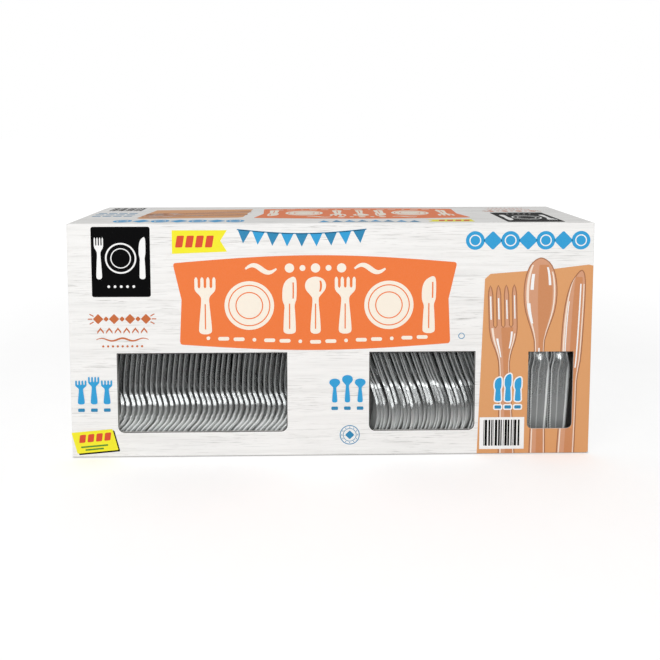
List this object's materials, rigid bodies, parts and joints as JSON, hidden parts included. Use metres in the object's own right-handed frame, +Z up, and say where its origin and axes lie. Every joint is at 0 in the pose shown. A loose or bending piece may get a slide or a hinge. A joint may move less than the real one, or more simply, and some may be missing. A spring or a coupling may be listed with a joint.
{
  "type": "plastic cutlery pack",
  "caption": "Windowed paperboard carton packed with nested clear plastic forks, spoons and knives, closed by glued end flaps.",
  "frame": {"origin": "under the middle of the carton, on the surface it stands on", "axes": "+X along the carton to the right as seen from its printed front, -Y out of the front with the windows, +Z up"},
  "size_m": [0.4252, 0.112, 0.193],
  "materials": {
    "printed_board": "clay-coated white paperboard with a semi-gloss print of wood grain and plain colour fields",
    "plain_board": "uncoated brown-grey paperboard",
    "clear_film": "thin clear film, smooth and glossy",
    "clear_polystyrene": "injection moulded clear polystyrene, polished"
  },
  "bodies": {
    "root": {"carton": "printed_board", "divider_forks_spoons": "plain_board", "divider_spoons_knives": "plain_board", "window_film_forks": "clear_film", "window_film_spoons": "clear_film", "window_film_knives": "clear_film", "fork_row_1": "clear_polystyrene", "fork_row_2": "clear_polystyrene", "fork_row_3": "clear_polystyrene", "fork_row_4": "clear_polystyrene", "fork_row_5": "clear_polystyrene", "spoon_row_1": "clear_polystyrene", "spoon_row_2": "clear_polystyrene", "spoon_row_3": "clear_polystyrene", "spoon_row_4": "clear_polystyrene", "knife_column_1": "clear_polystyrene", "knife_column_2": "clear_polystyrene", "knife_column_3": "clear_polystyrene"}
  },
  "joints": []
}
